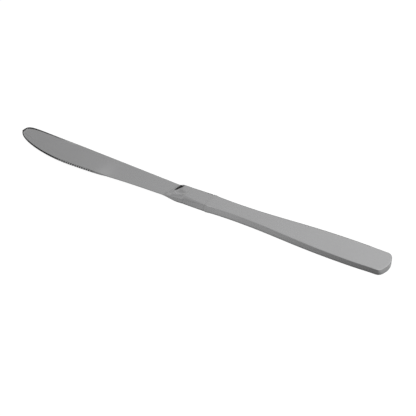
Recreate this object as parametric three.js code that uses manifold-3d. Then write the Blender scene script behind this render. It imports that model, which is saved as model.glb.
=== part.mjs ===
// A plain steel table knife lying on its flat side: a forged blade whose tang carries a bolster
// collar and a solid bar handle, with a run of weld metal closing each of the two seams.
// Millimetres. X runs from the tip to the butt, Y from the cutting edge to the spine, Z up.
// Pieces are drawn with x = 0 at the handle's front end and y = 0 on its axis, and the finished
// group is moved so that the middle of its footprint is the origin, on the surface it lies on.
import * as THREE from "three";
import { mergeVertices } from "three/addons/utils/BufferGeometryUtils.js";
import Module from "manifold-3d";

const wasm = await Module();
wasm.setup();

// Handle
const handleLength = 102.6;
const handleFrontThickness = 4.7;
const handleButtThickness = 3.6;
const handleFrontWidth = 10.8;
const neckWidth = 9.5;
const frontRun = 6;
const neckSetback = 15;
const neckRun = 25;
const swellWidth = 15.9;
const swellSetback = 83;
const swellRun = 32;
const buttWidth = 15.2;
const buttEndWidth = 11.6;
const buttEndRadius = 12;
const handleEdgeRadius = 0.5;

// Bolster and the two welded seams
const bolsterLength = 12.4;
const bolsterWidth = 10.6;
const bolsterRoundAcross = 1.2;
const bolsterRoundDown = 0.8;
const frontWeldWidth = 0.6;
const frontWeldUndercut = 0.05;
const rearWeldWidth = 0.6;
const rearWeldUndercut = 0.12;

// Blade, with the shoulder that swells it to the bolster's section
const bladeLength = 106.6;
const shoulderAtSpine = 7.5;
const shoulderAtEdge = 13.4;
const rampSetback = 6.4;
const rampSlant = 3.3;
const rampLength = 2.8;
const lipSetback = 1.1;
const lipShare = 0.08;
const steepShare = 0.45;
const easyShare = 0.62;
const upperRampSetback = 11;
const upperRampLength = 11;
const lowerRampLength = 11;
const spineAngle = THREE.MathUtils.degToRad(3.95);
const spineThickness = 2.2;
const tipThickness = 1;
const edgeThickness = 0.55;
const thinFrom = 0.5;
const thinTo = 0.62;
const heelSetback = 18.4;
const heelDrop = 5.85;
const bellySetback = 70.8;
const bellyDrop = 7.1;
const bellyFullness = 22.9;
const tipRise = 7.6;
const tipEdgeRound = 5.5;
const tipSpineRound = 5.7;
const tipCornerLength = 20;
const tipCornerFullness = 16.8;

// Fine teeth, ground into the cutting edge from its upper side
const toothPitch = 1.5;
const toothDepth = 0.38;
const toothGrindRadius = 0.38;
const toothGrindLength = 3.6;
const toothGrindTilt = THREE.MathUtils.degToRad(28);
const teethStart = 36.5;
const teethLength = 25.7;

// Tang and the clearances around it
const tangWidth = 6;
const tangEndWidth = 4;
const tangThickness = 2.2;
const tangInHandle = 34;
const tangClearance = 0.2;
const socketEndGap = 0.6;

// Fineness of the curves
const curveSteps = 10;
const roundSteps = 2;
const grindSteps = 9;
const bladeRibs = 48;
const shoulderRibs = 20;
const tipCrowding = 1.6;
const mergeWithin = 0.0001;

// Stations along the knife, worked back from the handle's front end
const rearWeldFront = -rearWeldWidth;
const bolsterFront = rearWeldFront - bolsterLength;
const shoulderRear = bolsterFront - frontWeldWidth;
const shoulderFront = shoulderRear - shoulderAtSpine;
const tipX = shoulderFront - bladeLength;
const midHeight = handleFrontThickness / 2;

// Solids for joining and cutting

function solidOf(geometry) {
  const bare = geometry.clone();
  bare.deleteAttribute("normal");
  bare.deleteAttribute("uv");
  const merged = mergeVertices(bare, mergeWithin);
  const mesh = new wasm.Mesh({
    numProp: 3,
    vertProperties: merged.attributes.position.array,
    triVerts: new Uint32Array(merged.index.array),
  });
  return new wasm.Manifold(mesh);
}

function geometryOf(solid) {
  const mesh = solid.getMesh();
  const geometry = new THREE.BufferGeometry();
  geometry.setAttribute("position", new THREE.BufferAttribute(mesh.vertProperties, 3));
  geometry.setIndex(new THREE.BufferAttribute(mesh.triVerts, 1));
  geometry.computeVertexNormals();
  return geometry;
}

// A plan outline given thickness, with its lower face at the height given
function slab(shape, bottom, thickness) {
  const options = { depth: thickness, bevelEnabled: false, curveSegments: curveSteps };
  return new THREE.ExtrudeGeometry(shape, options).translate(0, 0, bottom);
}

// The same with its upper and lower edges rounded inside the outline, from z = 0 upwards
function roundedSlab(shape, thickness, across, down) {
  const options = {
    depth: thickness - 2 * down,
    bevelSize: across,
    bevelOffset: -across,
    bevelThickness: down,
    bevelSegments: roundSteps,
    curveSegments: curveSteps,
  };
  return new THREE.ExtrudeGeometry(shape, options).translate(0, 0, down);
}

// A cross-section in Y and Z drawn out along X, from one station to another
function bar(section, from, to) {
  const options = { depth: to - from, bevelEnabled: false, curveSegments: roundSteps };
  const alongX = new THREE.Matrix4().makeBasis(
    new THREE.Vector3(0, 1, 0),
    new THREE.Vector3(0, 0, 1),
    new THREE.Vector3(1, 0, 0),
  );
  return new THREE.ExtrudeGeometry(section, options).applyMatrix4(alongX).translate(from, 0, 0);
}

// The bolster's rounded section, shrunk all round by an undercut, with the tang's hole in it
function collarSection(undercut) {
  const halfWidth = bolsterWidth / 2 - undercut;
  const low = undercut;
  const high = handleFrontThickness - undercut;
  const across = bolsterRoundAcross;
  const down = bolsterRoundDown;
  const section = new THREE.Shape();
  section.moveTo(-halfWidth + across, low);
  section.lineTo(halfWidth - across, low);
  section.absellipse(halfWidth - across, low + down, across, down, -Math.PI / 2, 0, false);
  section.absellipse(halfWidth - across, high - down, across, down, 0, Math.PI / 2, false);
  section.absellipse(-halfWidth + across, high - down, across, down, Math.PI / 2, Math.PI, false);
  section.absellipse(-halfWidth + across, low + down, across, down, Math.PI, Math.PI * 1.5, false);
  const holeY = tangWidth / 2 + tangClearance;
  const holeZ = tangThickness / 2 + tangClearance;
  const hole = new THREE.Path();
  hole.moveTo(-holeY, midHeight - holeZ);
  hole.lineTo(-holeY, midHeight + holeZ);
  hole.lineTo(holeY, midHeight + holeZ);
  hole.lineTo(holeY, midHeight - holeZ);
  hole.closePath();
  section.holes.push(hole);
  return section;
}

// The tang in plan: parallel through the bolster, then tapering inside the handle
function tangOutline(from, grow, endGap) {
  const root = tangWidth / 2 + grow;
  const end = tangEndWidth / 2 + grow;
  const reach = tangInHandle + endGap;
  const outline = new THREE.Shape();
  outline.moveTo(from, -root);
  outline.lineTo(0, -root);
  outline.lineTo(reach, -end);
  outline.lineTo(reach, end);
  outline.lineTo(0, root);
  outline.lineTo(from, root);
  return outline;
}

// One side of the handle in plan, from its front end to the middle of the butt, mirrored for the other
function handleOutline() {
  const front = handleFrontWidth / 2;
  const neck = neckWidth / 2;
  const swell = swellWidth / 2;
  const butt = buttWidth / 2;
  const endHalf = buttEndWidth / 2;
  const endAngle = Math.asin(endHalf / buttEndRadius);
  const arcCentre = handleLength - buttEndRadius;
  const arcX = arcCentre + buttEndRadius * Math.cos(endAngle);
  const cornerReach = (butt - endHalf) / Math.cos(endAngle);
  const cornerX = arcX - cornerReach * Math.sin(endAngle);
  const sideEnd = cornerX - cornerReach;
  const side = new THREE.Path();
  side.moveTo(0, front);
  side.quadraticCurveTo(frontRun, neck, neckSetback, neck);
  side.bezierCurveTo(neckSetback + neckRun, neck, swellSetback - swellRun, swell, swellSetback, swell);
  side.bezierCurveTo((swellSetback + sideEnd) / 2, swell, (swellSetback + sideEnd) / 2, butt, sideEnd, butt);
  side.quadraticCurveTo(cornerX, butt, arcX, endHalf);
  side.absarc(arcCentre, 0, buttEndRadius, endAngle, 0, true);
  const points = side.getPoints(curveSteps);
  const mirrored = points.slice(0, -1).reverse();
  return new THREE.Shape([...points, ...mirrored.map((point) => new THREE.Vector2(point.x, -point.y))]);
}

// The handle's upper face falls evenly towards the butt, and its underside stays flat
function taperToButt(geometry) {
  const position = geometry.attributes.position;
  for (let i = 0; i < position.count; i += 1) {
    const along = position.getX(i) / handleLength;
    const thickness = THREE.MathUtils.lerp(handleFrontThickness, handleButtThickness, along);
    position.setZ(i, (position.getZ(i) * thickness) / handleFrontThickness);
  }
  return geometry;
}

function handleGeometry() {
  const body = roundedSlab(handleOutline(), handleFrontThickness, handleEdgeRadius, handleEdgeRadius);
  const socketHeight = tangThickness + 2 * tangClearance;
  const mouth = -handleEdgeRadius;
  const socket = slab(
    tangOutline(mouth, tangClearance, socketEndGap),
    midHeight - socketHeight / 2,
    socketHeight,
  );
  return geometryOf(solidOf(taperToButt(body)).subtract(solidOf(socket)));
}

// Height of the straight spine line above the handle's axis
function spineY(x) {
  return bolsterWidth / 2 + Math.tan(spineAngle) * (shoulderFront - x);
}

// The spine from the tip back to the seam: the tip's rounded corner, a straight line, the shoulder
function spineSide() {
  const cornerEnd = tipX + tipCornerLength;
  const handleX = cornerEnd - tipCornerFullness;
  const side = new THREE.CurvePath();
  side.add(
    new THREE.CubicBezierCurve(
      new THREE.Vector2(tipX, tipRise),
      new THREE.Vector2(tipX, tipRise + tipSpineRound),
      new THREE.Vector2(handleX, spineY(handleX)),
      new THREE.Vector2(cornerEnd, spineY(cornerEnd)),
    ),
  );
  side.add(
    new THREE.LineCurve(
      new THREE.Vector2(cornerEnd, spineY(cornerEnd)),
      new THREE.Vector2(shoulderFront, bolsterWidth / 2),
    ),
  );
  side.add(
    new THREE.LineCurve(
      new THREE.Vector2(shoulderFront, bolsterWidth / 2),
      new THREE.Vector2(shoulderRear, bolsterWidth / 2),
    ),
  );
  return side;
}

// The cutting edge from the tip round the belly, in to the heel and on to the seam
function edgeSide() {
  const bellyX = shoulderRear - bellySetback;
  const heelX = shoulderRear - heelSetback;
  const middle = (bellyX + heelX) / 2;
  const side = new THREE.CurvePath();
  side.add(
    new THREE.CubicBezierCurve(
      new THREE.Vector2(tipX, tipRise),
      new THREE.Vector2(tipX, tipRise - tipEdgeRound),
      new THREE.Vector2(bellyX - bellyFullness, -bellyDrop),
      new THREE.Vector2(bellyX, -bellyDrop),
    ),
  );
  side.add(
    new THREE.CubicBezierCurve(
      new THREE.Vector2(bellyX, -bellyDrop),
      new THREE.Vector2(middle, -bellyDrop),
      new THREE.Vector2(middle, -heelDrop),
      new THREE.Vector2(heelX, -heelDrop),
    ),
  );
  side.add(
    new THREE.QuadraticBezierCurve(
      new THREE.Vector2(heelX, -heelDrop),
      new THREE.Vector2((heelX + shoulderRear) / 2, -heelDrop),
      new THREE.Vector2(shoulderRear, -bolsterWidth / 2),
    ),
  );
  return side;
}

// Where the ribs stand, as shares of the way from tip to seam: close at the tip, even on the shoulder
function ribStations(length) {
  const shoulder = 1 - shoulderAtEdge / length;
  const stations = [];
  for (let i = 0; i < bladeRibs; i += 1) {
    stations.push(shoulder * (i / bladeRibs) ** tipCrowding);
  }
  for (let i = 0; i <= shoulderRibs; i += 1) {
    stations.push(THREE.MathUtils.lerp(shoulder, 1, i / shoulderRibs));
  }
  return stations;
}

// How far the shoulder has swollen the blade: a short ramp on the spine's half, a little ahead along the spine
// itself, and on the edge's half a long easy one with the setback and length given
function shoulderSwell(x, across, easySetback, easyLength) {
  const lip = lipSetback * (1 - THREE.MathUtils.smoothstep(across, 0, lipShare));
  const easy = THREE.MathUtils.smoothstep(across, steepShare, easyShare);
  const setback = THREE.MathUtils.lerp(rampSetback + rampSlant * across + lip, easySetback, easy);
  const length = THREE.MathUtils.lerp(rampLength, easyLength, easy);
  return THREE.MathUtils.smoothstep(x, shoulderRear - setback, shoulderRear - setback + length);
}

// Half the bolster's thickness at a distance in from its side
function bolsterHalfThickness(inset) {
  const short = Math.max(0, 1 - inset / bolsterRoundAcross);
  return handleFrontThickness / 2 - bolsterRoundDown * (1 - Math.sqrt(1 - short ** 2));
}

// Shares of the width from spine to edge where a rib has a point: where the bolster is rounded, and on
// both sides of the line where the short ramp gives way to the long one
function ribShares() {
  const steps = 2 * roundSteps;
  const spineHalf = [];
  for (let i = 0; i <= steps; i += 1) {
    const inset = bolsterRoundAcross * (1 - Math.cos((Math.PI / 2) * (i / steps)));
    spineHalf.push(inset / bolsterWidth);
  }
  const edgeHalf = spineHalf.map((share) => 1 - share).reverse();
  return [...spineHalf, steepShare, easyShare, ...edgeHalf];
}

// The blade as ribs from spine to edge, which shrink to a point at the tip
function bladeGeometry() {
  const spine = spineSide();
  const edge = edgeSide();
  const stations = ribStations(edge.getLength());
  const shares = ribShares();
  const perRib = 2 * shares.length;
  const vertices = [];
  for (const along of stations) {
    const back = spine.getPointAt(along);
    const front = edge.getPointAt(along);
    const width = back.distanceTo(front);
    const atSpine = THREE.MathUtils.lerp(tipThickness, spineThickness, Math.sqrt(along));
    const thin = THREE.MathUtils.smoothstep(along, thinFrom, thinTo);
    const atEdge = THREE.MathUtils.lerp(tipThickness, edgeThickness, thin);
    const upper = [];
    const lower = [];
    for (const across of shares) {
      const point = back.clone().lerp(front, across);
      const plain = THREE.MathUtils.lerp(atSpine, atEdge, across) / 2;
      const swollen = bolsterHalfThickness(Math.min(across, 1 - across) * width);
      const above = shoulderSwell(point.x, across, upperRampSetback, upperRampLength);
      const below = shoulderSwell(point.x, across, shoulderAtEdge, lowerRampLength);
      upper.push([point.x, point.y, midHeight + THREE.MathUtils.lerp(plain, swollen, above)]);
      lower.push([point.x, point.y, midHeight - THREE.MathUtils.lerp(plain, swollen, below)]);
    }
    vertices.push(...upper.flat(), ...lower.reverse().flat());
  }
  const triangles = [];
  for (let i = 0; i + 1 < stations.length; i += 1) {
    for (let k = 0; k < perRib; k += 1) {
      const a = perRib * i + k;
      const b = perRib * i + ((k + 1) % perRib);
      triangles.push(a, b, b + perRib);
      triangles.push(a, b + perRib, a + perRib);
    }
  }
  const last = perRib * (stations.length - 1);
  for (let k = 1; k + 1 < perRib; k += 1) {
    triangles.push(last, last + k, last + k + 1);
  }
  const geometry = new THREE.BufferGeometry();
  geometry.setAttribute("position", new THREE.Float32BufferAttribute(vertices, 3));
  geometry.setIndex(triangles);
  return geometry;
}

// One grinding stroke for each gap between teeth, along the front of the cutting edge
function toothGrinds() {
  const edge = edgeSide();
  const count = Math.floor(teethLength / toothPitch);
  const length = edge.getLength();
  const grinds = [];
  for (let i = 0; i < count; i += 1) {
    const along = (teethStart + toothPitch * i) / length;
    const point = edge.getPointAt(along);
    const tangent = edge.getTangentAt(along);
    const outward = new THREE.Vector2(tangent.y, -tangent.x);
    const centre = point.clone().addScaledVector(outward, toothGrindRadius - toothDepth);
    const stroke = new THREE.CylinderGeometry(
      toothGrindRadius,
      toothGrindRadius,
      toothGrindLength,
      grindSteps,
    );
    stroke.rotateX(Math.PI / 2 - toothGrindTilt);
    stroke.rotateZ(Math.atan2(tangent.y, tangent.x));
    stroke.translate(centre.x, centre.y, midHeight);
    grinds.push(solidOf(stroke));
  }
  return grinds;
}

function forgedBladeGeometry() {
  const tangRoot = shoulderRear - tangThickness;
  const tang = slab(tangOutline(tangRoot, 0, 0), midHeight - tangThickness / 2, tangThickness);
  let forging = solidOf(bladeGeometry()).add(solidOf(tang));
  for (const grind of toothGrinds()) {
    forging = forging.subtract(grind);
  }
  return geometryOf(forging);
}

// Finishes
const bladeSteel = new THREE.MeshStandardMaterial({ color: 0x8f8f8f, roughness: 0.3, metalness: 1 });
const handleSteel = new THREE.MeshStandardMaterial({ color: 0xa8a8a8, roughness: 0.34, metalness: 1 });
const weldMetal = new THREE.MeshStandardMaterial({ color: 0x8a8a8a, roughness: 0.42, metalness: 1 });

const knife = new THREE.Group();

function addPiece(name, geometry, material) {
  const piece = new THREE.Mesh(geometry, material);
  piece.name = name;
  knife.add(piece);
}

addPiece("blade", forgedBladeGeometry(), bladeSteel);
addPiece("front_weld", bar(collarSection(frontWeldUndercut), shoulderRear, bolsterFront), weldMetal);
addPiece("bolster", bar(collarSection(0), bolsterFront, rearWeldFront), handleSteel);
addPiece("rear_weld", bar(collarSection(rearWeldUndercut), rearWeldFront, 0), weldMetal);
addPiece("handle", handleGeometry(), handleSteel);

const footprint = new THREE.Box3().setFromObject(knife);
const centre = footprint.getCenter(new THREE.Vector3());
knife.position.set(-centre.x, -centre.y, -footprint.min.z);

export default knife;
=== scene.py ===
import math

import bmesh
import bpy
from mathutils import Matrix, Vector
from mathutils.geometry import interpolate_bezier


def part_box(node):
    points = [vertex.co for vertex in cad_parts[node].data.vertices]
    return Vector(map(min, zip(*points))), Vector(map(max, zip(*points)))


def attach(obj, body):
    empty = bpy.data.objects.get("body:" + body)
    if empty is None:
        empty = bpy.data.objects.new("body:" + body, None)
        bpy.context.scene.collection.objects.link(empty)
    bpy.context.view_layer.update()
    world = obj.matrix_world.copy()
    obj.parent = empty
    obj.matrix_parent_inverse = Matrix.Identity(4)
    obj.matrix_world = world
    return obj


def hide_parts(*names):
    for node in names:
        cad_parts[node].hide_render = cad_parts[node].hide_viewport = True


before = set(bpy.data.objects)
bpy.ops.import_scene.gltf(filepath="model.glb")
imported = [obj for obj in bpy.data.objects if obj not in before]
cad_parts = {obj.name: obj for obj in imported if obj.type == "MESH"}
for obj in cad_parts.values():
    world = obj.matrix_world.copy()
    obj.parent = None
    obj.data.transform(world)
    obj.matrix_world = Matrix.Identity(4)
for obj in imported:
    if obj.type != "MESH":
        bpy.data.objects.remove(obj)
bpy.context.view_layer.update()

# Blade
# One piece of hardened stainless steel: forged thick at the shoulder, rolled thinner towards the tip and
# the cutting edge, then ground satin, with a narrow bevel round the tip and a row of fine teeth. Its tang
# runs back through the bolster into the handle.
mm = 0.001
hair = 1e-6
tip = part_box("blade")[0].x
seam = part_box("front_weld")[0].x
handle_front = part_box("handle")[0].x
collar_low, collar_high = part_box("bolster")
axis = (collar_low.y + collar_high.y) / 2
half_collar = (collar_high.y - collar_low.y) / 2
thick = collar_high.z
mid = thick / 2
corner = 0.8 * mm
soft_corner = 2.4 * mm
corner_steps = 6

shoulder_at_spine = 7.5 * mm
spine_slope = math.tan(math.radians(3.95))
spine_thickness = 2.2 * mm
edge_thickness = 0.55 * mm
front_thickness = 1.4 * mm
tip_thickness = 1.5 * mm
bevel_at_nose = 2.6 * mm
bevel_at_spine = 1.7 * mm
bevel_drop = 0.42 * mm
crease_length = 40 * mm
nose_width = 2.0 * mm
nose_drop = 0.54 * mm
nose_rim = 1.2 * mm
nose_rim_drop = 0.9 * mm
nose_rim_length = 10 * mm
rim_at_tip = 0.25 * mm
rim_drop = 0.1 * mm
rim_at_spine = 0.3 * mm
rim_at_edge = 0.1 * mm

# Shares of the blade's length: where its edge starts to thin, over how much, and where the bevel ends.
thin_from = 0.53
thin_run = 0.07
bevel_reach = 0.36

# Most that the bevel and the rims may take of the blade's width, and the rims of its half thickness.
widest_bevel = 0.42
widest_rim = 0.23
widest_spine_rim = 0.0755
deepest_rim = 0.9


def on_plan(x, y):
    """A point of the plan outline, with y measured from the handle's axis."""
    return Vector((x, axis + y, 0))


def spine_at(x):
    """The straight spine, which falls to the bolster's side at the shoulder."""
    return half_collar + spine_slope * (seam - shoulder_at_spine - x)


def along_outline(line, x):
    """Height and slope of a plan outline at x."""
    for a, b in zip(line, line[1:]):
        if a.x <= x <= b.x and b.x > a.x:
            slope = (b.y - a.y) / (b.x - a.x)
            return a.y + slope * (x - a.x), slope
    return line[-1].y, 0


def ease(share):
    """Zero before the start, one after the end, and smooth between them."""
    share = min(max(share, 0), 1)
    return share * share * (3 - 2 * share)


def mix(a, b, share):
    """The value that lies a share of the way from a to b."""
    return a + (b - a) * share


def pick(piece, x, part=None):
    """Selects the section of a piece that stands at x, or one numbered part of it."""
    sheet = bmesh.from_edit_mesh(piece.data)
    parts = sheet.verts.layers.int["part"]
    for vertex in sheet.verts:
        vertex.select_set(abs(vertex.co.x - x) < hair and part in (None, vertex[parts]))
    sheet.select_flush_mode()
    bmesh.update_edit_mesh(piece.data)


def pick_edges(piece, wanted):
    """Selects the edges whose two ends pass a test."""
    bpy.ops.mesh.select_all(action="DESELECT")
    sheet = bmesh.from_edit_mesh(piece.data)
    for edge in sheet.edges:
        if wanted(edge.verts[0].co, edge.verts[1].co):
            edge.select_set(True)
    bmesh.update_edit_mesh(piece.data)


def bar(name, x0, x1, half_width, height, rounding, soft):
    """A bar along X with rounded long edges, the upper one on the cutting side softer, left in edit mode."""
    bpy.ops.object.select_all(action="DESELECT")
    bpy.ops.mesh.primitive_cube_add(size=1, location=((x0 + x1) / 2, axis, mid))
    piece = bpy.context.active_object
    piece.name = name
    piece.scale = (abs(x1 - x0), 2 * half_width, height)
    bpy.ops.object.transform_apply(location=True, rotation=True, scale=True)
    bpy.ops.object.mode_set(mode="EDIT")
    pick_edges(piece, lambda a, b: abs(a.x - b.x) > hair and a.y < axis and a.z > mid)
    bpy.ops.mesh.bevel(offset=soft, segments=corner_steps, affect="EDGES")
    pick_edges(
        piece,
        lambda a, b: abs(a.x - b.x) > hair
        and abs(abs(a.y - axis) - half_width) < hair
        and abs(abs(a.z - mid) - height / 2) < hair,
    )
    bpy.ops.mesh.bevel(offset=rounding, segments=corner_steps, affect="EDGES")
    return piece


def number_parts(piece, cuts):
    """Cuts a bar lengthwise at the given Y and numbers its rows from the spine, lower points then upper."""
    for y in cuts:
        bpy.ops.mesh.select_all(action="SELECT")
        bpy.ops.mesh.bisect(plane_co=(0, y, 0), plane_no=(0, 1, 0), threshold=hair)
    sheet = bmesh.from_edit_mesh(piece.data)
    parts = sheet.verts.layers.int.new("part")
    for vertex in sheet.verts:
        row = sum(vertex.co.y < y + hair for y in cuts) + (vertex.co.y < cuts[-1] - hair)
        vertex[parts] = 2 * row + (vertex.co.z > mid)
    bmesh.update_edit_mesh(piece.data)


def section_part(y, z, wide=0, tall=0):
    """A rounded corner of a section, placed by its outer point, or a single point of a flat row."""
    return {"y": y, "z": z, "wide": wide, "tall": tall}


def draw_out(piece, x, section, stations):
    """Extrudes a bar's end from station to station, placing and sizing each part of every section."""
    for next_x, parts in stations:
        pick(piece, x)
        bpy.ops.mesh.extrude_region_move(TRANSFORM_OT_translate={"value": (next_x - x, 0, 0)})
        x = next_x
        for number, (old, new) in enumerate(zip(section, parts)):
            pick(piece, x, number)
            if old["wide"]:
                bpy.ops.transform.resize(
                    value=(1, new["wide"] / old["wide"], new["tall"] / old["tall"]),
                    center_override=(x, old["y"], old["z"]),
                )
            bpy.ops.transform.translate(value=(0, new["y"] - old["y"], new["z"] - old["z"]))
        section = parts


def even_shading(piece, angle):
    """Smooth shading in which large flat faces stay flat right up to their rounded rims."""
    bpy.ops.object.shade_smooth_by_angle(angle=math.radians(angle))
    flatten = piece.modifiers.new("flat_faces", "WEIGHTED_NORMAL")
    flatten.keep_sharp = True
    bpy.ops.object.modifier_apply(modifier="flat_faces")


# The plan outline: spine and cutting edge each run from the foremost point of the tip back to the seam.
tip_rise = 7.6 * mm
tip_rise_to_spine = 13.28 * mm
tip_rise_to_edge = 2.1 * mm
corner_length = 20 * mm
corner_fullness = 16.8 * mm
belly_drop = 7.1 * mm
belly_fullness = 22.9 * mm
heel_drop = 5.85 * mm
corner_end = tip + corner_length
pull = corner_end - corner_fullness
belly = seam - 70.8 * mm
heel = seam - 18.4 * mm
waist = (belly + heel) / 2
tip_point = on_plan(tip, tip_rise)
spine_line = interpolate_bezier(
    tip_point,
    on_plan(tip, tip_rise_to_spine),
    on_plan(pull, spine_at(pull)),
    on_plan(corner_end, spine_at(corner_end)),
    80,
)
spine_line.append(on_plan(seam - shoulder_at_spine, half_collar))
spine_line.append(on_plan(seam, half_collar))
edge_line = interpolate_bezier(
    tip_point,
    on_plan(tip, tip_rise_to_edge),
    on_plan(belly - belly_fullness, -belly_drop),
    on_plan(belly, -belly_drop),
    120,
)
edge_line += interpolate_bezier(
    edge_line.pop(), on_plan(waist, -belly_drop), on_plan(waist, -heel_drop), on_plan(heel, -heel_drop), 60
)
edge_line += interpolate_bezier(
    edge_line.pop(),
    on_plan(mix(heel, seam, 1 / 3), -heel_drop),
    on_plan(mix(heel, seam, 2 / 3), mix(-half_collar, -heel_drop, 2 / 3)),
    on_plan(seam, -half_collar),
    20,
)

# Rows of the blade from spine to edge as shares of its width, at the tip and from there back. At the tip the
# second row follows the bevel. On each row the shoulder's ramp starts so many millimetres before the seam,
# runs so far and is so firmly curved, on the lower and on the upper side.
tip_shares = (0, 0.3, 0.45, 0.52, 0.59, 0.66, 0.73, 1)
blade_shares = (0, 0.08, 0.26, 0.45, 0.55, 0.65, 0.78, 1)
spine_ramps = ((7.8, 3.4, 0.6), (7.4, 3.8, 0.6), (8.1, 4.1, 0.6), (8.8, 4.4, 0.7))
lower_ramps = (*spine_ramps, (9.0, 5.0, 1), (11.6, 9.4, 1), (12.8, 10.6, 1), (13.4, 11, 1))
upper_ramps = (*spine_ramps, (9.0, 7.4, 0.3), (9.4, 9.4, 0), (10.0, 10.0, 0), (11.0, 11.0, 0))


def blade_section(x):
    """The blade's cross-section at x: rounded rims at spine and edge, and flat rows between them."""
    spine, spine_lean = along_outline(spine_line, x)
    edge, edge_lean = along_outline(edge_line, x)
    width = spine - edge
    along = (x - tip) / (seam - tip)
    nose = nose_drop * max(0, 1 - (x - tip) / nose_width)
    past_tip = ease(4 * along)
    bevel = bevel_drop * max(0, 1 - along / bevel_reach)
    bevel_width = mix(bevel_at_nose, bevel_at_spine, ease(10 * along))
    bevel_run = min(bevel_width * math.hypot(1, spine_lean), widest_bevel * width)
    front = mix(tip_thickness, front_thickness, past_tip)
    at_spine = mix(front, spine_thickness, math.sqrt(along))
    at_edge = mix(front, edge_thickness, ease((along - thin_from) / thin_run))
    edge_rim = mix(rim_at_tip, rim_at_edge, ease(5 * along))
    edge_drop = mix(rim_drop, rim_at_edge, ease(5 * along))
    behind_nose = ease((x - tip) / nose_rim_length)
    edge_rim = mix(nose_rim, edge_rim, behind_nose)
    edge_drop = mix(nose_rim_drop, edge_drop, behind_nose)
    parts = []
    rows = zip(tip_shares, blade_shares, lower_ramps, upper_ramps)
    for row, (tip_share, share, *ramps) in enumerate(rows):
        tip_share = bevel_run / width if row == 1 else tip_share
        share = mix(tip_share, share, past_tip)
        lowered = max(nose, bevel) if row == 0 else nose
        for side, (lead, run, firm) in zip((-1, 1), ramps):
            travel = min(max(((x - seam) / mm + lead) / run, 0), 1)
            swell = mix(travel, ease(travel), firm)
            half = mix(mix(at_spine, at_edge, share) / 2 - lowered, mid, swell)
            wide, tall = 0, 0
            if share == 0:
                most = mix(0.5 * bevel_run, widest_spine_rim * width, past_tip)
                wide = min(mix(rim_at_spine, corner, swell) * math.hypot(1, spine_lean), most)
                tall = min(mix(rim_at_spine, corner, swell), deepest_rim * half)
            if share == 1:
                full = soft_corner if side > 0 else corner
                rim, drop = (edge_rim, edge_drop) if side > 0 else (rim_at_edge, rim_at_edge)
                wide = min(mix(rim, full, swell) * math.hypot(1, edge_lean), widest_rim * width)
                tall = min(mix(drop, full, swell), deepest_rim * half)
            parts.append(section_part(spine - width * share, mid + side * half, wide, tall))
    return parts


# Stations from the seam forward, closest together where the ramp turns and at the tip.
blade_stations = [seam - 0.5 * mm * step for step in range(1, 9)]
blade_stations += [seam - 4 * mm - 0.25 * mm * step for step in range(1, 21)]
blade_stations += [seam - 9 * mm - 0.5 * mm * step for step in range(1, 10)]
blade_stations += [mix(seam - 13.5 * mm, corner_end, step / 26) for step in range(1, 27)]
blade_stations += [tip + corner_length * (step / 24) ** 2.6 for step in range(23, 0, -1)]
blade = bar("blade_forging", blade_stations[0], seam, half_collar, thick, corner, soft_corner)
number_parts(blade, [axis + half_collar * (1 - 2 * share) for share in blade_shares[1:-1]])
draw_out(blade, blade_stations[0], blade_section(seam), [(x, blade_section(x)) for x in blade_stations[1:]])

# The inner line of the bevel, the upper points of the second row, stays a crisp crease.
sheet = bmesh.from_edit_mesh(blade.data)
parts = sheet.verts.layers.int["part"]
for edge in sheet.edges:
    edge.select_set(all(end[parts] == 3 and end.co.x < tip + crease_length for end in edge.verts))
bmesh.update_edit_mesh(blade.data)
bpy.ops.mesh.mark_sharp()

# The tang, drawn from the rear of the shoulder and narrowed inside the handle.
tang_half = 3 * mm
tang_end_half = 2 * mm
tang_thickness = 2.2 * mm
tang_reach = 34 * mm
inset = 0.3 * mm
pick(blade, seam)
bpy.ops.mesh.inset(thickness=inset)
bpy.ops.transform.resize(
    value=(1, tang_half / (half_collar - inset), tang_thickness / (thick - 2 * inset)),
    center_override=(seam, axis, mid),
)
bpy.ops.mesh.extrude_region_move(TRANSFORM_OT_translate={"value": (handle_front - seam, 0, 0)})
bpy.ops.mesh.extrude_region_move(TRANSFORM_OT_translate={"value": (tang_reach, 0, 0)})
bpy.ops.transform.resize(
    value=(1, tang_end_half / tang_half, 1), center_override=(handle_front + tang_reach, axis, mid)
)
bpy.ops.mesh.select_all(action="SELECT")
bpy.ops.mesh.normals_make_consistent(inside=False)
bpy.ops.object.mode_set(mode="OBJECT")
blade.data.attributes.remove(blade.data.attributes["part"])

# Fine teeth, each one stroke of a small round wheel held at a slant against the upper side of the edge. The
# first few are ground less deep.
tooth_pitch = 1.5 * mm
tooth_depth = 0.42 * mm
first_tooth = 0.55
growing_teeth = 6
wheel_radius = 0.37 * mm
wheel_length = 3.6 * mm
wheel_slant = math.radians(28)
teeth_from = 36.5 * mm
teeth_length = 25.7 * mm
tooth_count = int(teeth_length / tooth_pitch)
wheels = []
travelled = 0
next_tooth = teeth_from
bpy.ops.object.select_all(action="DESELECT")
for a, b in zip(edge_line, edge_line[1:]):
    step = (b - a).length
    while travelled <= next_tooth < travelled + step and len(wheels) < tooth_count:
        run = (b - a).normalized()
        outward = Vector((run.y, -run.x, 0))
        depth = tooth_depth * mix(first_tooth, 1, ease(len(wheels) / growing_teeth))
        spot = a.lerp(b, (next_tooth - travelled) / step) + outward * (wheel_radius - depth)
        bpy.ops.mesh.primitive_cylinder_add(
            vertices=20,
            radius=wheel_radius,
            depth=wheel_length,
            location=(spot.x, spot.y, mid),
            rotation=(-wheel_slant, 0, math.atan2(run.y, run.x)),
        )
        wheels.append(bpy.context.active_object)
        next_tooth += tooth_pitch
    travelled += step
for wheel in wheels:
    wheel.select_set(True)
bpy.ops.object.join()
wheel_row = bpy.context.active_object
bpy.ops.object.select_all(action="DESELECT")
blade.select_set(True)
bpy.context.view_layer.objects.active = blade
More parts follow.
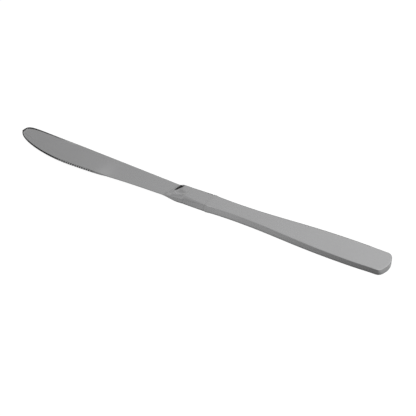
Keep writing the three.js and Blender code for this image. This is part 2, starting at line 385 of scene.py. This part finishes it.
grind = blade.modifiers.new("teeth", "BOOLEAN")
grind.operation = "DIFFERENCE"
grind.solver = "EXACT"
grind.use_self = True
grind.object = wheel_row
bpy.ops.object.modifier_apply(modifier="teeth")
bpy.data.objects.remove(wheel_row)
even_shading(blade, 45)


def satin_grain():
    """Fine lengthwise grinding lines with slow cloudy patches, as colour, roughness and height."""
    group = bpy.data.node_groups.new("satin_grain", "ShaderNodeTree")
    group.interface.new_socket("Colour", in_out="INPUT", socket_type="NodeSocketColor")
    group.interface.new_socket("Roughness", in_out="INPUT", socket_type="NodeSocketFloat")
    group.interface.new_socket("Contrast", in_out="INPUT", socket_type="NodeSocketFloat")
    group.interface.new_socket("Colour", in_out="OUTPUT", socket_type="NodeSocketColor")
    group.interface.new_socket("Roughness", in_out="OUTPUT", socket_type="NodeSocketFloat")
    group.interface.new_socket("Height", in_out="OUTPUT", socket_type="NodeSocketFloat")
    nodes, links = group.nodes, group.links
    values = nodes.new("NodeGroupInput")
    result = nodes.new("NodeGroupOutput")
    place = nodes.new("ShaderNodeTexCoord")
    stretch = nodes.new("ShaderNodeMapping")
    stretch.inputs["Scale"].default_value = (120, 3200, 3200)
    links.new(place.outputs["Object"], stretch.inputs["Vector"])
    lines = nodes.new("ShaderNodeTexNoise")
    lines.inputs["Scale"].default_value = 1
    lines.inputs["Detail"].default_value = 4
    links.new(stretch.outputs["Vector"], lines.inputs["Vector"])
    patches = nodes.new("ShaderNodeTexNoise")
    patches.inputs["Scale"].default_value = 55
    patches.inputs["Detail"].default_value = 3
    links.new(place.outputs["Object"], patches.inputs["Vector"])
    both = nodes.new("ShaderNodeMix")
    both.inputs["Factor"].default_value = 0.45
    links.new(lines.outputs["Fac"], both.inputs["A"])
    links.new(patches.outputs["Fac"], both.inputs["B"])
    swing = nodes.new("ShaderNodeMath")
    swing.operation = "MULTIPLY_ADD"
    links.new(both.outputs["Result"], swing.inputs[0])
    links.new(values.outputs["Contrast"], swing.inputs[1])
    half_down = nodes.new("ShaderNodeMath")
    half_down.operation = "MULTIPLY_ADD"
    half_down.inputs[1].default_value = -0.5
    half_down.inputs[2].default_value = 1
    links.new(values.outputs["Contrast"], half_down.inputs[0])
    links.new(half_down.outputs["Value"], swing.inputs[2])
    tone = nodes.new("ShaderNodeVectorMath")
    tone.operation = "SCALE"
    links.new(values.outputs["Colour"], tone.inputs[0])
    links.new(swing.outputs["Value"], tone.inputs["Scale"])
    links.new(tone.outputs["Vector"], result.inputs["Colour"])
    dull = nodes.new("ShaderNodeMath")
    dull.operation = "MULTIPLY"
    links.new(values.outputs["Roughness"], dull.inputs[0])
    links.new(swing.outputs["Value"], dull.inputs[1])
    links.new(dull.outputs["Value"], result.inputs["Roughness"])
    links.new(lines.outputs["Fac"], result.inputs["Height"])
    return group


grain = satin_grain()
scratch_depth = 0.02 * mm


def steel(name, colour, roughness, contrast, relief):
    """A metal finish whose colour, roughness and relief all come from the grinding grain."""
    finish = bpy.data.materials.new(name)
    finish.use_nodes = True
    nodes, links = finish.node_tree.nodes, finish.node_tree.links
    shader = nodes["Principled BSDF"]
    shader.inputs["Metallic"].default_value = 1
    surface = nodes.new("ShaderNodeGroup")
    surface.node_tree = grain
    surface.inputs["Colour"].default_value = (*colour, 1)
    surface.inputs["Roughness"].default_value = roughness
    surface.inputs["Contrast"].default_value = contrast
    links.new(surface.outputs["Colour"], shader.inputs["Base Color"])
    links.new(surface.outputs["Roughness"], shader.inputs["Roughness"])
    bump = nodes.new("ShaderNodeBump")
    bump.inputs["Strength"].default_value = relief
    bump.inputs["Distance"].default_value = scratch_depth
    links.new(surface.outputs["Height"], bump.inputs["Height"])
    links.new(bump.outputs["Normal"], shader.inputs["Normal"])
    return finish


blade_colour = (0.62, 0.62, 0.625)
blade_finish = steel("ground_blade_steel", blade_colour, roughness=0.2, contrast=0.14, relief=0.1)
blade.data.materials.append(blade_finish)
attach(blade, "root")
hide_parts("blade")

# Welds
# Two narrow runs of weld metal, one at each end of the bolster, dressed back level with the steel beside
# them. The rear one is ground a hair lower, which leaves the small step in the outline at the handle.
crisp_corner = 0.6 * mm
hole_half = 3.2 * mm
hole_height = 2.6 * mm
hole_margin = 0.1 * mm
weld_colour = (0.57, 0.57, 0.575)
weld_finish = steel("dressed_weld_metal", weld_colour, roughness=0.27, contrast=0.16, relief=0.12)


def open_for_tang(piece, ends, half_width, height):
    """Opens a hole through a bar from end to end, a little larger than the tang."""
    for x in ends:
        bpy.ops.mesh.select_all(action="DESELECT")
        sheet = bmesh.from_edit_mesh(piece.data)
        for vertex in sheet.verts:
            vertex.select_set(abs(vertex.co.x - x) < hair)
        sheet.select_flush_mode()
        bmesh.update_edit_mesh(piece.data)
        bpy.ops.mesh.inset(thickness=inset)
        bpy.ops.transform.resize(
            value=(1, hole_half / (half_width - inset), hole_height / (height - 2 * inset)),
            center_override=(x, axis, mid),
        )
    bpy.ops.mesh.select_all(action="DESELECT")
    sheet = bmesh.from_edit_mesh(piece.data)
    for face in sheet.faces:
        across = max(abs(vertex.co.y - axis) for vertex in face.verts)
        if abs(face.normal.x) > 0.99 and across < hole_half + hole_margin:
            face.select_set(True)
    bmesh.update_edit_mesh(piece.data)
    bpy.ops.mesh.bridge_edge_loops()


def outside_hole(spot):
    """Whether a point of a bar lies outside the wall of its hole for the tang."""
    aside = abs(spot.y - axis) > hole_half + hole_margin
    return aside or abs(spot.z - mid) > hole_height / 2 + hole_margin


def weld_ring(name, node, rounding, soft, hollow):
    """A ring of weld metal around the tang, with its middle drawn in to a shallow hollow."""
    low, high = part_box(node)
    half_width = (high.y - low.y) / 2
    height = high.z - low.z
    ring = bar(name, low.x, high.x, half_width, height, rounding, soft)
    open_for_tang(ring, (low.x, high.x), half_width, height)
    centre = (low.x + high.x) / 2
    bpy.ops.mesh.select_all(action="SELECT")
    bpy.ops.mesh.bisect(plane_co=(centre, 0, 0), plane_no=(1, 0, 0))
    sheet = bmesh.from_edit_mesh(ring.data)
    for vertex in sheet.verts:
        vertex.select_set(outside_hole(vertex.co) and abs(vertex.co.x - centre) < hair)
    sheet.select_flush_mode()
    bmesh.update_edit_mesh(ring.data)
    bpy.ops.transform.resize(
        value=(1, 1 - hollow / half_width, 1 - 2 * hollow / height), center_override=(centre, axis, mid)
    )
    bpy.ops.mesh.select_all(action="SELECT")
    bpy.ops.mesh.normals_make_consistent(inside=False)
    bpy.ops.object.mode_set(mode="OBJECT")
    even_shading(ring, 40)
    ring.data.materials.append(weld_finish)
    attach(ring, "root")
    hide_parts(node)


front_hollow = 0.01 * mm
rear_hollow = 0.03 * mm
weld_ring("front_weld_run", "front_weld", corner, soft_corner, front_hollow)
weld_ring("rear_weld_run", "rear_weld", crisp_corner, crisp_corner, rear_hollow)

# Bolster
# A short collar of the handle's steel, threaded over the tang and welded at both ends. It is soft-edged
# where it meets the shoulder, crisper where it meets the handle, and there its far upper edge is buffed over.
buffed_width = 1.2 * mm
buffed_drop = 0.36 * mm
seam_rounding = 0.04 * mm
bolster = bar("bolster_collar", collar_low.x, collar_high.x, half_collar, thick, corner, soft_corner)
sheet = bmesh.from_edit_mesh(bolster.data)
for side in (-1, 1):
    for level in (-1, 1):
        for vertex in sheet.verts:
            at_rear = abs(vertex.co.x - collar_high.x) < hair
            at_corner = (vertex.co.y - axis) * side > 0 and (vertex.co.z - mid) * level > 0
            vertex.select_set(at_rear and at_corner)
        sheet.select_flush_mode()
        bmesh.update_edit_mesh(bolster.data)
        buffed = side > 0 and level > 0
        wide, tall = (buffed_width, buffed_drop) if buffed else (crisp_corner, crisp_corner)
        before = soft_corner if side < 0 and level > 0 else corner
        bpy.ops.transform.resize(
            value=(1, wide / before, tall / before),
            center_override=(collar_high.x, axis + side * half_collar, mid + level * mid),
        )
open_for_tang(bolster, (collar_low.x, collar_high.x), half_collar, thick)
pick_edges(bolster, lambda a, b: abs(a.x - b.x) < hair and outside_hole(a) and outside_hole(b))
bpy.ops.mesh.bevel(offset=seam_rounding, segments=2, affect="EDGES")
bpy.ops.mesh.select_all(action="SELECT")
bpy.ops.mesh.normals_make_consistent(inside=False)
bpy.ops.object.mode_set(mode="OBJECT")
even_shading(bolster, 40)
handle_colour = (0.6, 0.6, 0.605)
handle_finish = steel("polished_handle_steel", handle_colour, roughness=0.27, contrast=0.12, relief=0.1)
bolster.data.materials.append(handle_finish)
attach(bolster, "root")
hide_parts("bolster")

# Handle
# A solid flat bar of softer stainless steel, narrow behind the bolster and swelling to a rounded butt. It is
# a little thinner at the butt. Its edges are lightly rounded and the far upper one is buffed over, and the
# tang is fixed in a socket in its front.
handle_length = 102.6 * mm
butt_thickness = 3.6 * mm
front_half = 5.4 * mm
neck_half = 4.75 * mm
swell_half = 7.95 * mm
butt_half = 7.6 * mm
end_half = 5.8 * mm
end_radius = 12 * mm
end_steps = 22
edge_radius = 0.5 * mm
widest_edge = 0.4
front_rounding = 0.05 * mm
buffed_after = 6 * mm
buffed_until = 7 * mm
buffing_fades = 8 * mm
socket_end_gap = 0.6 * mm
socket_end_half = 2.2 * mm


def on_side(x, y):
    """A point of the handle's side outline, x in millimetres from its front end and y from its axis."""
    return Vector((handle_front + x * mm, y, 0))


# The side outline: from the front end in to the neck, out to the swell, and round the corner of the butt.
end_angle = math.asin(end_half / end_radius)
arc_centre = handle_front + handle_length - end_radius
arc_start = Vector((arc_centre + end_radius * math.cos(end_angle), end_half, 0))
reach = (butt_half - end_half) / math.cos(end_angle)
butt_corner = Vector((arc_start.x - reach * math.sin(end_angle), butt_half, 0))
side_end = Vector((butt_corner.x - reach, butt_half, 0))
side_line = interpolate_bezier(
    on_side(0, front_half),
    on_side(4, mix(front_half, neck_half, 2 / 3)),
    on_side(9, neck_half),
    on_side(15, neck_half),
    9,
)
side_line += interpolate_bezier(
    side_line.pop(), on_side(40, neck_half), on_side(51, swell_half), on_side(83, swell_half), 26
)
middle = (side_line[-1].x + side_end.x) / 2
side_line += interpolate_bezier(
    side_line.pop(), Vector((middle, swell_half, 0)), Vector((middle, butt_half, 0)), side_end, 8
)
side_line += interpolate_bezier(
    side_line.pop(), side_end.lerp(butt_corner, 2 / 3), arc_start.lerp(butt_corner, 2 / 3), arc_start, 10
)
for step in range(1, end_steps):
    turn = end_angle * (1 - step / end_steps)
    side_line.append(
        Vector((arc_centre + end_radius * math.cos(turn), end_radius * math.sin(turn), 0))
    )


def handle_section(x, half_width, lean):
    """The handle's cross-section at x: two rounded edges and a middle row, standing on its flat underside."""
    left = handle_front + handle_length - x
    top = mix(thick, butt_thickness, (x - handle_front) / handle_length)
    nose = max(0, 1 - left / edge_radius)
    drop = edge_radius * (1 - math.sqrt(1 - nose * nose))
    settled = ease((x - handle_front) / buffed_after) * ease((left - buffed_until) / buffing_fades)
    parts = []
    for side in (1, 0, -1):
        for z in (drop, top - drop):
            buffed = settled if side == 1 and z > drop else 0
            wide = mix(edge_radius, buffed_width, buffed) * math.hypot(1, lean)
            wide = min(wide, widest_edge * half_width) * abs(side)
            tall = mix(edge_radius, buffed_drop, buffed)
            parts.append(section_part(axis + side * half_width, z, wide, tall))
    return parts


handle_stations = []
for before, point in zip(side_line, side_line[1:]):
    lean = (point.y - before.y) / (point.x - before.x)
    handle_stations.append((point.x, handle_section(point.x, point.y, lean)))
handle = bar("handle_bar", side_line[0].x, side_line[1].x, front_half, thick, edge_radius, edge_radius)
number_parts(handle, [axis])
draw_out(handle, side_line[1].x, handle_section(side_line[0].x, front_half, 0), handle_stations[1:])
pick_edges(
    handle,
    lambda a, b: max(abs(a.x - handle_front), abs(b.x - handle_front)) < hair
    and max(abs(a.y - axis), abs(b.y - axis)) > hair,
)
bpy.ops.mesh.bevel(offset=front_rounding, segments=2, affect="EDGES")

# The socket for the tang, sunk from the front end and narrowing with the tang.
rim = inset + front_rounding
pick(handle, handle_front)
bpy.ops.mesh.inset(thickness=inset)
bpy.ops.transform.resize(
    value=(1, hole_half / (front_half - rim), hole_height / (thick - 2 * rim)),
    center_override=(handle_front, axis, mid),
)
bpy.ops.mesh.extrude_region_move(TRANSFORM_OT_translate={"value": (tang_reach + socket_end_gap, 0, 0)})
bpy.ops.transform.resize(
    value=(1, socket_end_half / hole_half, 1), center_override=(handle_front + tang_reach, axis, mid)
)
bpy.ops.mesh.select_all(action="SELECT")
bpy.ops.mesh.normals_make_consistent(inside=False)
bpy.ops.object.mode_set(mode="OBJECT")
handle.data.attributes.remove(handle.data.attributes["part"])
even_shading(handle, 28)
handle.data.materials.append(handle_finish)
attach(handle, "root")
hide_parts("handle")

# Floor
# A plain white studio sweep as the camera sees it. Reflections in the steel see a painted reflection instead:
# black behind the knife and beside the tip, painted shade along the near side, painted light beyond the butt,
# and a painted contact shadow where the near side stands on it.
floor_size = 6
floor_gap = 0.05 * mm
bpy.ops.object.select_all(action="DESELECT")
bpy.ops.mesh.primitive_plane_add(size=floor_size, location=(0, 0, -floor_gap))
floor = bpy.context.active_object
floor.name = "studio_floor"
bpy.ops.object.transform_apply(location=True)
floor_finish = bpy.data.materials.new("pale_floor")
floor_finish.use_nodes = True
nodes, links = floor_finish.node_tree.nodes, floor_finish.node_tree.links
nodes.clear()


def level_ramp(nodes, levels):
    """A grey ramp through the given positions and levels."""
    ramp = nodes.new("ShaderNodeValToRGB")
    stops = ramp.color_ramp.elements
    stops[0].position, stops[1].position = levels[0][0], levels[-1][0]
    for position, _ in levels[1:-1]:
        stops.new(position)
    for stop, (position, level) in zip(stops, levels):
        stop.color = (level, level, level, 1)
    return ramp


# The colour sockets of a Mix node, which share their names with its other kinds.
colour_a, colour_b, mixed_colour = 6, 7, 2

painted_reflection_reach = 120 * mm
painted_shadow_ends = 0.97
shade_width = 1.6 * mm
full_shade = 0.42
place = nodes.new("ShaderNodeTexCoord")
split = nodes.new("ShaderNodeSeparateXYZ")
links.new(place.outputs["Object"], split.inputs["Vector"])
along = nodes.new("ShaderNodeMapRange")
along.inputs["From Min"].default_value = -painted_reflection_reach
along.inputs["From Max"].default_value = painted_reflection_reach
links.new(split.outputs["X"], along.inputs["Value"])
# Painted reflection levels along the near side: painted shade beside the knife, painted light beyond the
# butt.
painted_near_reflection_levels = (
    (0.02, 0.03),
    (0.246, 0.03),
    (0.258, 0.28),
    (0.44, 0.33),
    (0.5, 0.37),
    (0.58, 0.44),
    (0.7, 0.39),
    (0.972, 0.16),
    (0.982, 0.45),
)
painted_near_reflection = level_ramp(nodes, painted_near_reflection_levels)
painted_far_reflection = level_ramp(nodes, ((0.0, 0.03), (0.93, 0.05), (0.965, 0.54)))
links.new(along.outputs["Result"], painted_near_reflection.inputs["Fac"])
links.new(along.outputs["Result"], painted_far_reflection.inputs["Fac"])
behind = nodes.new("ShaderNodeMath")
behind.operation = "GREATER_THAN"
behind.inputs[1].default_value = 0
links.new(split.outputs["Y"], behind.inputs[0])
painted_reflection_tone = nodes.new("ShaderNodeMix")
painted_reflection_tone.data_type = "RGBA"
links.new(behind.outputs["Value"], painted_reflection_tone.inputs["Factor"])
links.new(painted_near_reflection.outputs["Color"], painted_reflection_tone.inputs[colour_a])
links.new(painted_far_reflection.outputs["Color"], painted_reflection_tone.inputs[colour_b])
# Painted contact shadow: ambient occlusion dims the painted reflection close to the knife, but not beyond the
# butt.
painted_contact_shadow = nodes.new("ShaderNodeAmbientOcclusion")
painted_contact_shadow.samples = 8
painted_contact_shadow.inputs["Distance"].default_value = shade_width
shade = nodes.new("ShaderNodeMapRange")
shade.inputs["From Min"].default_value = full_shade
links.new(painted_contact_shadow.outputs["AO"], shade.inputs["Value"])
beyond = nodes.new("ShaderNodeMath")
beyond.operation = "GREATER_THAN"
beyond.inputs[1].default_value = painted_shadow_ends
links.new(along.outputs["Result"], beyond.inputs[0])
painted_shadow_strength = nodes.new("ShaderNodeMath")
painted_shadow_strength.operation = "MAXIMUM"
links.new(shade.outputs["Result"], painted_shadow_strength.inputs[0])
links.new(beyond.outputs["Value"], painted_shadow_strength.inputs[1])
# The painted reflection, seen only by glossy rays; the camera sees the evenly bright floor.
painted_reflection = nodes.new("ShaderNodeEmission")
links.new(painted_shadow_strength.outputs["Value"], painted_reflection.inputs["Strength"])
links.new(painted_reflection_tone.outputs[mixed_colour], painted_reflection.inputs["Color"])
lit = nodes.new("ShaderNodeEmission")
lit.inputs["Strength"].default_value = 0.95
pale = nodes.new("ShaderNodeBsdfDiffuse")
pale.inputs["Color"].default_value = (0.16, 0.16, 0.16, 1)
seen = nodes.new("ShaderNodeAddShader")
links.new(lit.outputs["Emission"], seen.inputs[0])
links.new(pale.outputs["BSDF"], seen.inputs[1])
path = nodes.new("ShaderNodeLightPath")
choice = nodes.new("ShaderNodeMixShader")
links.new(path.outputs["Is Glossy Ray"], choice.inputs["Fac"])
links.new(seen.outputs["Shader"], choice.inputs[1])
links.new(painted_reflection.outputs["Emission"], choice.inputs[2])
output = nodes.new("ShaderNodeOutputMaterial")
links.new(choice.outputs["Shader"], output.inputs["Surface"])
floor.data.materials.append(floor_finish)

# Light
# A soft white tent. Behind the knife it has a dark low horizon with a bright band above it, and it dims
# towards the tip's side, so that flat steel shows an even grey and edges that lean back show dark.
glow_from = -0.75
glow_to = 0.1
far_wall_from = -0.15
far_wall_to = 0.25
world = bpy.data.worlds.new("studio_tent")
bpy.context.scene.world = world
world.use_nodes = True
nodes, links = world.node_tree.nodes, world.node_tree.links
aim = nodes.new("ShaderNodeTexCoord")
split = nodes.new("ShaderNodeSeparateXYZ")
links.new(aim.outputs["Generated"], split.inputs["Vector"])
sideways = nodes.new("ShaderNodeMapRange")
sideways.inputs["From Min"].default_value = glow_from
sideways.inputs["From Max"].default_value = glow_to
links.new(split.outputs["X"], sideways.inputs["Value"])
glow_levels = (
    (0.0, 0.47),
    (0.15, 0.42),
    (0.24, 0.35),
    (0.353, 0.5),
    (0.41, 0.53),
    (0.59, 0.69),
    (1.0, 0.85),
)
glow = level_ramp(nodes, glow_levels)
links.new(sideways.outputs["Result"], glow.inputs["Fac"])
far_wall = level_ramp(nodes, ((0.0, 0.04), (0.26, 0.06), (0.38, 1.1), (0.44, 1.75), (0.51, 1.0)))
near_wall = level_ramp(nodes, ((0.0, 0.75), (0.5, 0.85), (0.9, 0.98)))
links.new(split.outputs["Z"], far_wall.inputs["Fac"])
links.new(split.outputs["Z"], near_wall.inputs["Fac"])
round_to_far = nodes.new("ShaderNodeMapRange")
round_to_far.inputs["From Min"].default_value = far_wall_from
round_to_far.inputs["From Max"].default_value = far_wall_to
links.new(split.outputs["Y"], round_to_far.inputs["Value"])
wall = nodes.new("ShaderNodeMix")
wall.data_type = "RGBA"
links.new(round_to_far.outputs["Result"], wall.inputs["Factor"])
links.new(near_wall.outputs["Color"], wall.inputs[colour_a])
links.new(far_wall.outputs["Color"], wall.inputs[colour_b])
tent = nodes.new("ShaderNodeVectorMath")
tent.operation = "MULTIPLY"
links.new(glow.outputs["Color"], tent.inputs[0])
links.new(wall.outputs[mixed_colour], tent.inputs[1])
links.new(tent.outputs["Vector"], nodes["Background"].inputs["Color"])

# Camera
# A long lens beyond the butt, on the cutting edge's side, looking down along the knife. Its place, direction
# and focal length were fitted to the knife's outline in the photograph.
picture_width = 416
focal_in_pixels = 1170
distance = 617.2 * mm
aim_in_front = 1.34 * mm
camera_data = bpy.data.cameras.new("camera")
camera_data.sensor_width = 36
camera_data.lens = focal_in_pixels * camera_data.sensor_width / picture_width
camera = bpy.data.objects.new("camera", camera_data)
bpy.context.scene.collection.objects.link(camera)
turn = math.radians(29.97)
tilt = math.radians(36.95)
back = Vector((math.sin(turn) * math.cos(tilt), -math.cos(turn) * math.cos(tilt), math.sin(tilt)))
camera.location = Vector((handle_front, axis - aim_in_front, 0)) + back * distance
camera.rotation_euler = (-back).to_track_quat("-Z", "Y").to_euler()
bpy.context.scene.camera = camera
bpy.context.scene.view_settings.view_transform = "Standard"
